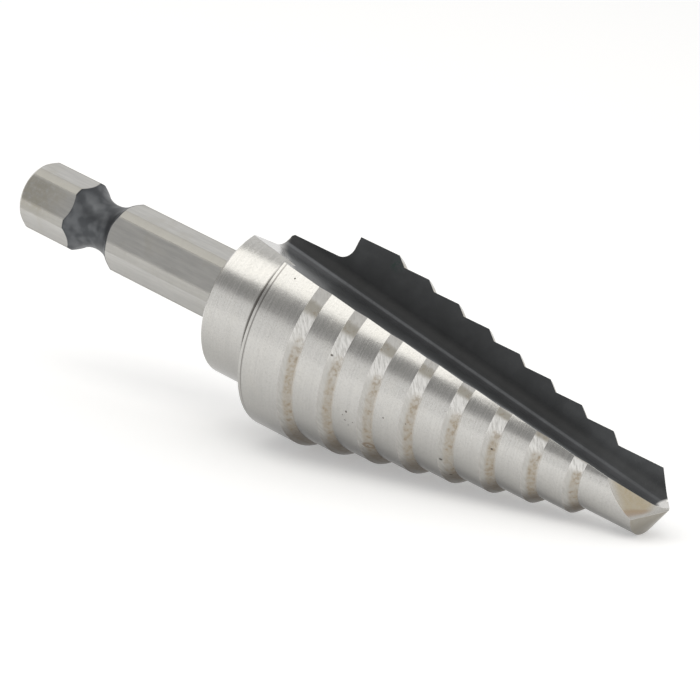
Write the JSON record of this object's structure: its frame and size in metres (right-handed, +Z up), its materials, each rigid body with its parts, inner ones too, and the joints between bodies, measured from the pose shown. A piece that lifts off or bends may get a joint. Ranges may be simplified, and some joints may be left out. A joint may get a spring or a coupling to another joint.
{
  "type": "step drill bit",
  "caption": "Stepped conical drill bit of bright tool steel with a single straight black flute, a plain collar and a grooved hexagonal quick-change shank, lying on its side.",
  "frame": {"origin": "centre of the bounding box's footprint, at the height of the surface that the drill lies on", "axes": "+X towards the drill's point, along its length as it lies; +Z up; the flute opens upwards"},
  "size_m": [0.0706, 0.019, 0.0194],
  "materials": {
    "tool_steel": "ground high-speed steel with fine turning marks, brown stains on the cones between steps, black oxide in the flute"
  },
  "bodies": {
    "root": {"step_drill": "tool_steel"}
  },
  "joints": []
}
